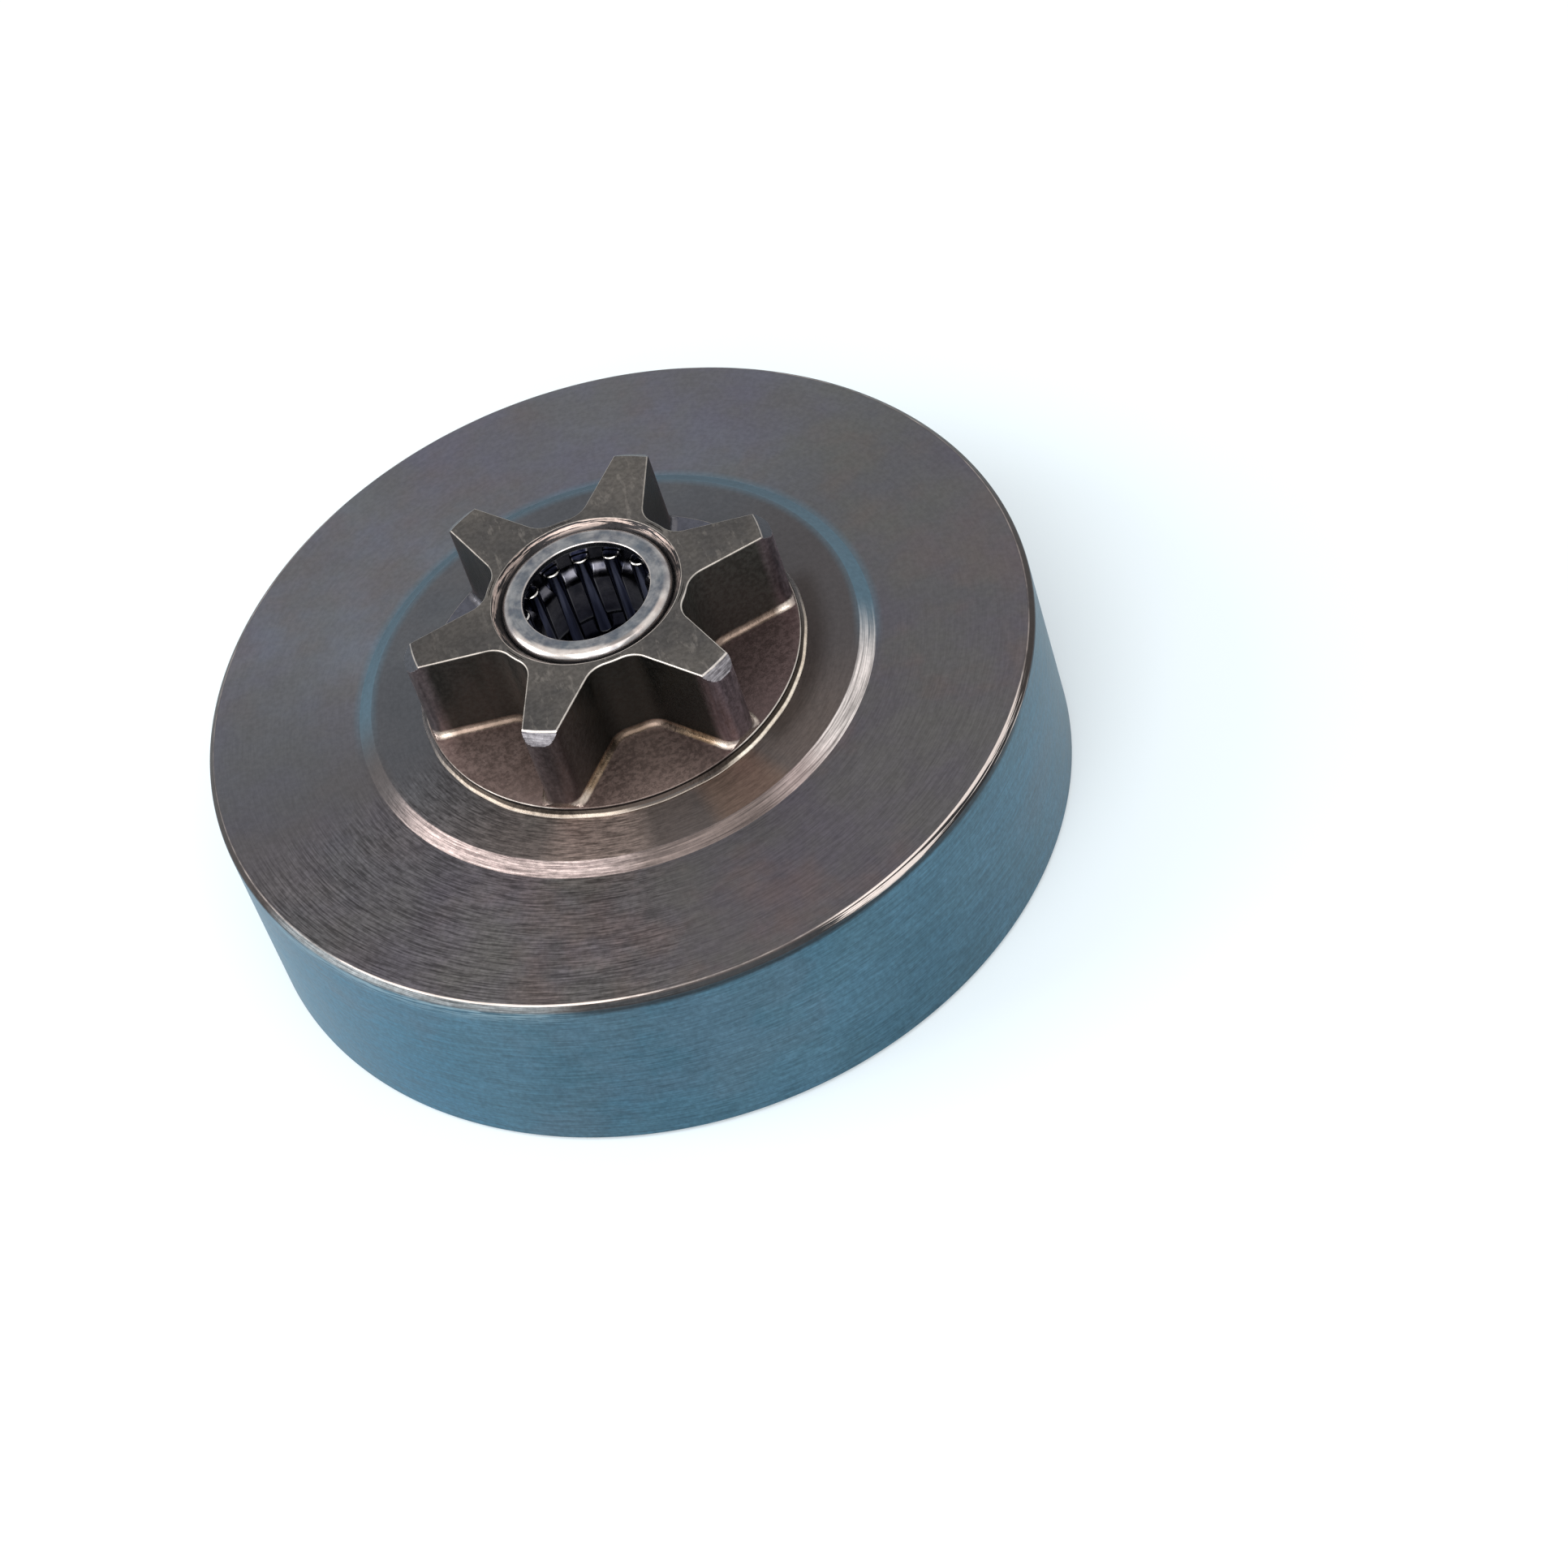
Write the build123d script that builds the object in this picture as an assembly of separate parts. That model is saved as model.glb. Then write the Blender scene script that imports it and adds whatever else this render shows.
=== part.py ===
"""Clutch drum of a small chainsaw: drum cup, six-tooth spur sprocket and caged needle bearing.

Millimetres. The drum lies on its open rim at z = 0 with the sprocket up. Z is the shaft axis
and +X runs through the middle of one tooth.
"""

from build123d import *
from math import cos, hypot, radians, sin, tan
import os

# Drum cup
drum_diameter = 68.0
drum_height = 16.9
wall_thickness = 2.5
plate_thickness = 2.7
face_edge_chamfer = 0.45
rim_chamfer = 0.4
inner_corner_round = 1.5
pad_foot_diameter = 42.5
pad_bevel_width = 1.15
pad_height = 0.7

# Sprocket flange and spigot
flange_diameter = 31.0
flange_thickness = 0.75
flange_foot_flare = 0.4
flange_foot_land = 0.1
spigot_diameter = 20.0
spigot_clearance = 0.02
spigot_chamfer = 0.4

# Sprocket teeth
tooth_count = 6
tip_diameter = 30.7
root_diameter = 16.6
tip_width = 2.55
flank_draft = 10.4
tooth_height = 8.15
root_corner_round = 2.1
tip_corner_round = 1.1
tooth_foot_round = 0.6
top_edge_break = 0.15
tip_bevel_depth = 0.95
tip_bevel_height = 0.8
bore_mouth_chamfer = 0.7
bore_exit_chamfer = 0.3

# Needle bearing
shaft_diameter = 10.0
shaft_clearance = 0.01
bearing_length = 12.0
bearing_inset = 0.05
bearing_seat_clearance = 0.01
lip_bore_diameter = 10.3
lip_thickness = 0.6
lip_edge_chamfer = 0.15
shell_wall = 0.475
shell_corner_round = 0.8
shell_inner_chamfer = 0.3

# Needle rollers
needle_count = 14
needle_diameter = 1.5
needle_length = 8.4
needle_end_chamfer = 0.15
needle_phase = 8.0
raceway_clearance = 0.015

# Cage, a sheet sleeve whose bars dip inwards in the middle
cage_sheet = 0.35
cage_shell_clearance = 0.2
cage_shaft_clearance = 0.2
cage_end_clearance = 0.15
cage_dip_length = 4.6
cage_dip_slope = 0.7
pocket_clearance = 0.03
pocket_end_clearance = 0.1

# Heights above the rim
plate_inner_z = drum_height - plate_thickness
pad_z = drum_height + pad_height
flange_z = pad_z + flange_thickness
sprocket_z = flange_z + tooth_height
bearing_top_z = sprocket_z - bearing_inset
bearing_middle_z = bearing_top_z - bearing_length / 2

# Radii
drum_radius = drum_diameter / 2
drum_inner_radius = drum_radius - wall_thickness
pad_foot_radius = pad_foot_diameter / 2
flange_radius = flange_diameter / 2
spigot_radius = spigot_diameter / 2
tip_radius = tip_diameter / 2
root_radius = root_diameter / 2
lip_bore_radius = lip_bore_diameter / 2
needle_radius = needle_diameter / 2
needle_pitch_radius = shaft_diameter / 2 + shaft_clearance + needle_radius
raceway_radius = needle_pitch_radius + needle_radius + raceway_clearance
bearing_radius = raceway_radius + shell_wall
seat_radius = bearing_radius + bearing_seat_clearance

# How far a cutting tool runs past the surface that it cuts
overrun = 1.0


def section(points):
    """Closed face in the XZ half plane, from (radius, height) points."""
    return Plane.XZ * make_face(Polyline(*points, close=True))


def corners_at(face, places):
    """The corners of an XZ section that lie at the given (radius, height) places."""
    return [face.vertices().sort_by_distance((radius, 0, height))[0] for radius, height in places]


def make_drum_cup():
    """Turned cup with a bevelled pad around the hole that takes the sprocket's spigot."""
    hole_radius = spigot_radius + spigot_clearance
    outline = section(
        [
            (drum_inner_radius + rim_chamfer, 0),
            (drum_radius - rim_chamfer, 0),
            (drum_radius, rim_chamfer),
            (drum_radius, drum_height - face_edge_chamfer),
            (drum_radius - face_edge_chamfer, drum_height),
            (pad_foot_radius, drum_height),
            (pad_foot_radius - pad_bevel_width, pad_z),
            (hole_radius, pad_z),
            (hole_radius, plate_inner_z),
            (drum_inner_radius, plate_inner_z),
            (drum_inner_radius, rim_chamfer),
        ]
    )
    outline = fillet(corners_at(outline, [(drum_inner_radius, plate_inner_z)]), inner_corner_round)
    return revolve(outline, Axis.Z)


def corners_on_circle(sketch, radius):
    """The corners of a sketch that lie on a circle about the origin."""
    return [corner for corner in sketch.vertices() if abs(hypot(corner.X, corner.Y) - radius) < 1e-3]


def spur_outline():
    """Outline of the teeth: straight drafted flanks, round root corners and eased tip corners."""
    flank_slope = tan(radians(flank_draft))
    tip_half_width = tip_width / 2
    base_half_width = tip_half_width + tip_radius * flank_slope
    end_half_width = tip_half_width - overrun * flank_slope
    end_x = tip_radius + overrun
    tooth = make_face(
        Polyline(
            (0, -base_half_width),
            (end_x, -end_half_width),
            (end_x, end_half_width),
            (0, base_half_width),
            close=True,
        )
    )
    tooth_turns = [Rot(0, 0, 360 / tooth_count * index) for index in range(tooth_count)]
    outline = Circle(root_radius) + [turn * tooth for turn in tooth_turns]
    outline = outline & Circle(tip_radius)
    outline = fillet(corners_on_circle(outline, root_radius), root_corner_round)
    return fillet(corners_on_circle(outline, tip_radius), tip_corner_round)


def make_sprocket():
    """Spur teeth on a thin flange, with a spigot that passes through the drum's plate."""
    plate_radius = tip_radius + tooth_foot_round + overrun
    teeth = Pos(0, 0, flange_z) * extrude(spur_outline(), tooth_height)
    top_edges = teeth.edges().filter_by_position(Axis.Z, sprocket_z, sprocket_z)
    teeth = chamfer(top_edges, top_edge_break)

    # The foot round is made on a wide plate, which the flange's edge then trims
    blank = teeth + Pos(0, 0, flange_z) * Cylinder(
        plate_radius, flange_thickness, align=(Align.CENTER, Align.CENTER, Align.MAX)
    )
    foot_edges = [
        edge
        for edge in blank.edges().filter_by_position(Axis.Z, flange_z, flange_z)
        if hypot(edge.center().X, edge.center().Y) < tip_radius + tooth_foot_round / 2
        and edge.length < tip_radius * 2
    ]
    blank = fillet(foot_edges, tooth_foot_round)

    # Turned envelope: flange edge with a flared foot, tooth tips with a bevel at the top
    bevel_slope = tip_bevel_height / tip_bevel_depth
    bevel_start = tip_radius - tip_bevel_depth
    foot_top_z = flange_z + tooth_foot_round
    clear_radius = tip_radius + overrun
    envelope = section(
        [
            (0, pad_z),
            (flange_radius, pad_z),
            (flange_radius, foot_top_z),
            (clear_radius, foot_top_z),
            (clear_radius, sprocket_z - (clear_radius - bevel_start) * bevel_slope),
            (bevel_start, sprocket_z),
            (0, sprocket_z),
        ]
    )
    blank = blank & revolve(envelope, Axis.Z)

    flare = section(
        [
            (spigot_radius, pad_z),
            (flange_radius + flange_foot_flare, pad_z),
            (flange_radius + flange_foot_flare, pad_z + flange_foot_land),
            (flange_radius, pad_z + flange_foot_land + flange_foot_flare),
            (spigot_radius, pad_z + flange_foot_land + flange_foot_flare),
        ]
    )
    spigot = section(
        [
            (0, plate_inner_z),
            (spigot_radius - spigot_chamfer, plate_inner_z),
            (spigot_radius, plate_inner_z + spigot_chamfer),
            (spigot_radius, flange_z),
            (0, flange_z),
        ]
    )
    bore = section(
        [
            (0, plate_inner_z),
            (seat_radius + bore_exit_chamfer, plate_inner_z),
            (seat_radius, plate_inner_z + bore_exit_chamfer),
            (seat_radius, sprocket_z - bore_mouth_chamfer),
            (seat_radius + bore_mouth_chamfer, sprocket_z),
            (0, sprocket_z),
        ]
    )
    return blank + revolve(flare, Axis.Z) + revolve(spigot, Axis.Z) - revolve(bore, Axis.Z)


def both_ends(points):
    """The upper half of an outline, about the bearing's middle, followed by its mirror image below."""
    return points + [(radius, -height) for radius, height in reversed(points)]


def make_bearing_shell():
    """Drawn cup of the bearing, with both ends turned in as lips that keep the cage."""
    end = bearing_length / 2
    lip_inside = end - lip_thickness
    outline = section(
        both_ends(
            [
                (raceway_radius, lip_inside - shell_inner_chamfer),
                (raceway_radius - shell_inner_chamfer, lip_inside),
                (lip_bore_radius, lip_inside),
                (lip_bore_radius, end - lip_edge_chamfer),
                (lip_bore_radius + lip_edge_chamfer, end),
                (bearing_radius, end),
            ]
        )
    )
    outer_corners = corners_at(outline, [(bearing_radius, end), (bearing_radius, -end)])
    outline = fillet(outer_corners, shell_corner_round)
    return Pos(0, 0, bearing_middle_z) * revolve(outline, Axis.Z)


def needle_places():
    """Where the axis of each roller stands, at the middle of the bearing."""
    places = []
    for index in range(needle_count):
        angle = radians(needle_phase + 360 / needle_count * index)
        x = needle_pitch_radius * cos(angle)
        y = needle_pitch_radius * sin(angle)
        places.append(Pos(x, y, bearing_middle_z))
    return places


def make_needle_cage():
    """Sheet sleeve with a pocket for each roller. Its middle lies inside the rollers' pitch circle."""
    half_length = bearing_length / 2 - lip_thickness - cage_end_clearance
    dip_half = cage_dip_length / 2
    slope_end = dip_half + cage_dip_slope
    high_outer = raceway_radius - cage_shell_clearance
    high_inner = high_outer - cage_sheet
    low_inner = shaft_diameter / 2 + cage_shaft_clearance
    low_outer = low_inner + cage_sheet
    bar_inside = [(low_inner, dip_half), (high_inner, slope_end), (high_inner, half_length)]
    bar_outside = [(high_outer, half_length), (high_outer, slope_end), (low_outer, dip_half)]
    outline = section(both_ends(bar_inside + bar_outside))
    pocket = Cylinder(needle_radius + pocket_clearance, needle_length + 2 * pocket_end_clearance)
    sleeve = Pos(0, 0, bearing_middle_z) * revolve(outline, Axis.Z)
    return sleeve - [place * pocket for place in needle_places()]


def make_needle():
    """One roller with eased ends."""
    blank = Cylinder(needle_radius, needle_length)
    return chamfer(blank.edges().filter_by(GeomType.CIRCLE), needle_end_chamfer)


def main():
    os.makedirs("parts", exist_ok=True)
    pieces = {
        "drum_cup": make_drum_cup(),
        "sprocket": make_sprocket(),
        "bearing_shell": make_bearing_shell(),
        "needle_cage": make_needle_cage(),
    }
    needle = make_needle()
    for number, place in enumerate(needle_places(), start=1):
        pieces[f"needle_roller_{number:02d}"] = place * needle
    for name, piece in pieces.items():
        export_step(piece, f"parts/{name}.step")


main()
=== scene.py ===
"""Looks of a small chainsaw's clutch drum: turned cup, six-tooth spur and caged needle bearing.

The named sizes are millimetres, in the CAD model's frame: the drum lies on its open rim at height 0
with the spur up, Z is the shaft axis and +X runs through the middle of one tooth.
"""

import bpy
import numpy as np
from mathutils import Matrix, Vector


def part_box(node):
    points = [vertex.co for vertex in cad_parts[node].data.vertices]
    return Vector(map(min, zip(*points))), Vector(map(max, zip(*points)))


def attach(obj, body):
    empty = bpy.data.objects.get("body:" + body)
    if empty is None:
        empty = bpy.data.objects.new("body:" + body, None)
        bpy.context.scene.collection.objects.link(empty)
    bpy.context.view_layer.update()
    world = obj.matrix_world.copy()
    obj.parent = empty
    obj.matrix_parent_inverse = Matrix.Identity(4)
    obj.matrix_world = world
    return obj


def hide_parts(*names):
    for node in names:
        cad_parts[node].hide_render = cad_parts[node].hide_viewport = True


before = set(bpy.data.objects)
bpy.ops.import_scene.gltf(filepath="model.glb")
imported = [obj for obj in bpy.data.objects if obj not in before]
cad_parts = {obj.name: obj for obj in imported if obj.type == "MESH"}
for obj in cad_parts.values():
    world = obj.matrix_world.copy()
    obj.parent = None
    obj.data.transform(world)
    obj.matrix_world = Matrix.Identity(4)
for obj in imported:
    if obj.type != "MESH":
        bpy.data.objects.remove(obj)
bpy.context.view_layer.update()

MM = 0.001
sharp_turn = np.radians(40)

# Drum cup
drum_radius = 34.0
drum_height = 16.9
drum_inner_radius = 31.5
plate_inner_z = 14.2
face_chamfer = 0.45
rim_chamfer = 0.4
inner_corner_round = 1.5
pad_foot_radius = 21.25
pad_radius = 20.1
pad_z = 17.6
plate_hole_radius = 10.02

# Spur sprocket
flange_radius = 15.5
flange_z = 18.35
flange_edge_ease = 0.12
flare_width = 0.4
flare_land = 0.1
spigot_radius = 10.0
spigot_chamfer = 0.4
tooth_count = 6
tip_radius = 15.35
root_radius = 8.3
tip_half_width = 1.275
flank_draft = np.radians(10.4)
root_corner_round = 2.1
tip_corner_round = 1.1
tooth_foot_round = 0.6
top_edge_ease = 0.15
sprocket_z = 26.5
tip_bevel_depth = 0.95
tip_bevel_height = 0.8
bore_radius = 7.01
bore_mouth_chamfer = 0.7
bore_exit_chamfer = 0.3

# Points along each part of the tooth outline
tip_points = 9
tip_corner_points = 11
flank_points = 34
root_corner_points = 15
root_points = 7

# Sprocket mesh: rows beside the eased edges, and hair gaps that keep rows from falling together
flange_flat = 0.4
tooth_foot_rise = 1.6
top_inset = 0.35
mouth_inset = 0.3
bevel_margin = 0.05
bevel_rows = 10
row_gap = 0.01
foot_lead = 0.02
rim_gap = 0.002
rim_spread = 0.02
flat_reach = 0.028

# Waves in the bead of braze: size, count round the flange and shift
bead_waves = ((0.03, 5, 0.6), (0.025, 11, 2.1), (0.02, 23, 0.0))

# Needle bearing
bearing_radius = 7.0
bearing_top_z = 26.45
bearing_bottom_z = 14.45
lip_bore_radius = 5.15
lip_thickness = 0.6
lip_edge_ease = 0.15
shell_corner_round = 0.8
raceway_radius = 6.525
shell_inner_chamfer = 0.3
needle_end_ease = 0.2
needle_pitch_radius = 5.76
needle_count = 14
cage_sheet = 0.35
cage_high_radius = 6.15
cage_low_radius = 5.375
cage_half_length = 5.25
cage_dip_half = 2.3
cage_slope_end = 3.0
cage_bend = 1.05
pocket_radius = 0.78
pocket_end_clearance = 0.1
window_columns = 6
# Share of the bare, painted-highlight edge colour on each window's second edge
second_rim_wear_and_highlight = 0.45

# Where a finish, a painted shade or a painted highlight starts and where it is full, from the axis or
# above the rim
pad_flange_shadow = (18.4, 16.4)
shade_under_edge = (15.7, 16.2)
shade_at_edge = (16.85, 16.7)
wall_scuff = (14.8, 16.5)
tooth_tip = (13.6, 14.7)
gap_root = (11.0, 9.8)
gap_side = (9.8, 11.2)
tooth_end = (13.4, 14.6)
foot_fade = (15.3, 14.6)
bead_shade = (17.8, 17.7)
mouth_rings = (25.9, 26.3)
lip_narrow_highlight = (6.18, 6.45)
lip_broad_highlight = (6.0, 6.3)
lip_highlight_end = (6.95, 6.6)
lip_edge = (5.6, 5.8)
# Heights up the bore over which the painted shade lifts
bore_shade_level = (18.2, 23.2)

# Lines with a tint of their own, as painted reflection about the pad's bevel and painted highlight along
# the bead, and at what distance from each the tint starts and is full
pad_ring_radius = 20.7
pad_ring_reflection_fade = (1.3, 0.5)
bead_line_z = 17.72
bead_line_fade = (0.2, 0.12)
flange_edge_fade = (0.4, 0.2)


def screen(red, green, blue):
    """A colour as a screen shows it, 0 to 255 a channel, as the linear numbers that sockets take."""
    share = np.array([red, green, blue]) / 255
    linear = np.where(share <= 0.04045, share / 12.92, ((share + 0.055) / 1.055) ** 2.4)
    return (*linear.tolist(), 1.0)


# Surfaces


def unit(vectors):
    """The same directions with length one."""
    return vectors / np.linalg.norm(vectors, axis=-1, keepdims=True)


def eased_chain(corners, closed, steps=6):
    """Straight runs joined by tangent arcs, as points, normals, corner numbers and places on the arc.

    corners are (across, height, rounding), counter-clockwise, so outward is to the right of the way
    along. An arc of radius q turns by the angle a at its corner and starts q * tan(a / 2) before it.
    An open chain keeps its two end corners as single points.
    """
    corners = np.array(corners, float)
    place, rounding = corners[:, :2], corners[:, 2]
    way_in = unit(place - np.roll(place, 1, axis=0))
    way_out = unit(np.roll(place, -1, axis=0) - place)
    if not closed:
        way_in[0], way_out[-1] = way_out[0], way_in[-1]
    cross = way_in[:, 0] * way_out[:, 1] - way_in[:, 1] * way_out[:, 0]
    turn = np.arctan2(cross, (way_in * way_out).sum(axis=1))
    side = np.where(turn < 0, -1.0, 1.0)
    start = place - way_in * (rounding * np.tan(np.abs(turn) / 2))[:, None]
    facing = np.arctan2(-way_in[:, 0], way_in[:, 1])
    along = np.linspace(0, 1, steps + 1)
    angle = facing[:, None] + turn[:, None] * along
    normal = np.stack([np.cos(angle), np.sin(angle)], axis=-1)
    reach = (side * rounding)[:, None, None]
    point = start[:, None] + reach * (normal - normal[:, :1])
    number = np.repeat(np.arange(len(corners))[:, None], steps + 1, axis=1)
    along = np.repeat(along[None], len(corners), axis=0)
    keep = np.ones(number.shape, bool)
    if not closed:
        keep[[0, -1], 1:] = False
    return point[keep], normal[keep], number[keep], along[keep]


def run_marks(runs, wear, number, along, closed):
    """Masks along a chain: 1 on the runs of a finish, ramped round the arcs, and wear on the arcs."""
    runs = np.array(runs)
    marks = {}
    for finish in sorted(set(runs.tolist())):
        after = (runs == finish).astype(float)
        before = np.roll(after, 1) if closed else np.concatenate([after[:1], after[:-1]])
        marks[finish] = before[number] * (1 - along) + after[number] * along
    marks["wear"] = np.array(wear, float)[number] * np.sin(np.pi * along)
    return marks


def skin(name, points, normals, faces, marks, material):
    """A smooth mesh from millimetre points, with masks as point attributes and its own normals.

    Without normals, edges that turn by more than 40 degrees are sharp.
    """
    mesh = bpy.data.meshes.new(name)
    mesh.from_pydata((points * MM).tolist(), [], faces.tolist())
    mesh.shade_smooth()
    for finish, values in marks.items():
        attribute = mesh.attributes.new(finish, "FLOAT", "POINT")
        attribute.data.foreach_set("value", np.ascontiguousarray(values, np.float32).ravel())
    if normals is None:
        mesh.set_sharp_from_angle(angle=sharp_turn)
    else:
        mesh.normals_split_custom_set_from_vertices(unit(normals).tolist())
    mesh.materials.append(material)
    piece = bpy.data.objects.new(name, mesh)
    bpy.context.scene.collection.objects.link(piece)
    return piece


def ring_faces(rows, columns):
    """Quads of a grid that joins up with itself both ways. Columns run round Z, rows along a section."""
    here = np.arange(rows * columns).reshape(rows, columns)
    after = np.roll(here, -1, axis=0)
    quads = np.stack([here, np.roll(here, -1, 1), np.roll(after, -1, 1), after], axis=-1)
    return quads.reshape(-1, 4)


def turned_ring(name, corners, material, columns=480):
    """A closed section carried round Z: point (r, z) at angle a becomes (r cos a, r sin a, z).

    corners are (radius, height, rounding, finish of the run that follows, wear on the corner).
    """
    outline, outward, number, along = eased_chain([corner[:3] for corner in corners], True)
    marks = run_marks([c[3] for c in corners], [c[4] for c in corners], number, along, True)
    angle = np.arange(columns) * 2 * np.pi / columns
    round_z = np.stack([np.cos(angle), np.sin(angle), np.zeros(columns)], axis=-1)
    up = np.array([0.0, 0.0, 1.0])
    points = outline[:, None, :1] * round_z + outline[:, None, 1:] * up
    normals = outward[:, None, :1] * round_z + outward[:, None, 1:] * up
    marks = {finish: np.repeat(values[:, None], columns, axis=1) for finish, values in marks.items()}
    faces = ring_faces(len(outline), columns)
    return skin(name, points.reshape(-1, 3), normals.reshape(-1, 3), faces, marks, material)


def tooth_outline():
    """One round of the spur's outline, as points and outward normals.

    Half a tooth, from its middle to the middle of the gap: an arc on the tip circle, a small corner
    arc, the straight drafted flank, the root corner's arc and an arc on the root circle. The corner
    centres lie on circles a rounding inside the tip and a rounding outside the root, at the angle
    where their distance from the flank's line equals the rounding. The half is mirrored, and the
    tooth is turned to its six places.
    """
    flank_angle = np.pi / 2 - flank_draft
    flank_offset = (tip_half_width + tip_radius * np.tan(flank_draft)) * np.cos(flank_draft)
    tip_centre = tip_radius - tip_corner_round
    root_centre = root_radius + root_corner_round
    tip_angle = flank_angle - np.arccos((flank_offset - tip_corner_round) / tip_centre)
    root_angle = flank_angle - np.arccos((flank_offset + root_corner_round) / root_centre)

    def direction(angle):
        return np.stack([np.cos(angle), np.sin(angle)], axis=-1)

    tip = np.linspace(0, tip_angle, tip_points)
    tip_corner = np.linspace(tip_angle, flank_angle, tip_corner_points)[1:]
    flank = np.linspace(0, 1, flank_points)[1:-1]
    root_corner = np.linspace(flank_angle, root_angle, root_corner_points)
    root = np.linspace(root_angle, np.pi / tooth_count, root_points)[1:]
    outer_arc = tip_centre * direction(tip_angle) + tip_corner_round * direction(tip_corner)
    inner_arc = root_centre * direction(root_angle) - root_corner_round * direction(root_corner)
    flank_line = outer_arc[-1] + flank[:, None] * (inner_arc[0] - outer_arc[-1])
    half = np.concatenate(
        [
            tip_radius * direction(tip),
            outer_arc,
            flank_line,
            inner_arc,
            root_radius * direction(root),
        ]
    )
    facing = np.concatenate([tip, tip_corner, np.full(len(flank), flank_angle), root_corner, root])
    mirror = np.array([1.0, -1.0])
    points = np.concatenate([half[:0:-1] * mirror, half[:-1]])
    facing = np.concatenate([-facing[:0:-1], facing[:-1]])
    turns = np.arange(tooth_count)[:, None] * 2 * np.pi / tooth_count
    cos, sin = np.cos(turns), np.sin(turns)
    x = points[:, 0] * cos - points[:, 1] * sin
    y = points[:, 0] * sin + points[:, 1] * cos
    return np.stack([x.ravel(), y.ravel()], axis=-1), direction((facing + turns).ravel())


def sprocket_sections():
    """The sprocket's section as four open chains: turned foot, tooth foot, tooth top and bore.

    Corners are (across, height, rounding, finish of the run that follows, wear on the corner). Across
    is a radius in the turned chains, and a distance out from the tooth outline in the two between.
    """
    flare_top = pad_z + flare_land + flare_width
    flare_radius = flange_radius + flare_width
    mouth_radius = bore_radius + bore_mouth_chamfer
    exit_radius = bore_radius + bore_exit_chamfer
    turned_foot = [
        (exit_radius, plate_inner_z, 0.06, "inside", 0.3),
        (spigot_radius - spigot_chamfer, plate_inner_z, 0.06, "inside", 0.3),
        (spigot_radius, plate_inner_z + spigot_chamfer, 0.06, "inside", 0.0),
        (spigot_radius, pad_z, 0.05, "inside", 0.0),
        (flare_radius, pad_z, 0.03, "bead", 0.0),
        (flare_radius, pad_z + flare_land, 0.12, "bead", 1.0),
        (flange_radius, flare_top, 0.1, "rim", 0.0),
        (flange_radius, flange_z, flange_edge_ease, "flange", 1.0),
        (flange_radius - flange_flat, flange_z, 0.0, "flange", 0.0),
    ]
    tooth_foot = [
        (tooth_foot_round + foot_lead, flange_z, 0.0, "flange", 0.0),
        (0.0, flange_z, tooth_foot_round, "wall", 1.0),
        (0.0, flange_z + tooth_foot_rise, 0.0, "wall", 0.0),
    ]
    tooth_top = [
        (0.0, sprocket_z - tip_bevel_height - bevel_margin, 0.0, "wall", 0.0),
        (0.0, sprocket_z, top_edge_ease, "top", 1.0),
        (-top_inset, sprocket_z, 0.0, "top", 0.0),
    ]
    bore = [
        (mouth_radius + mouth_inset, sprocket_z, 0.0, "top", 0.0),
        (mouth_radius, sprocket_z, 0.12, "mouth", 1.0),
        (bore_radius, sprocket_z - bore_mouth_chamfer, 0.1, "inside", 0.2),
        (bore_radius, plate_inner_z + bore_exit_chamfer, 0.06, "inside", 0.3),
        (exit_radius, plate_inner_z + row_gap, 0.0, "inside", 0.0),
    ]
    return turned_foot, tooth_foot, tooth_top, bore


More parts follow.
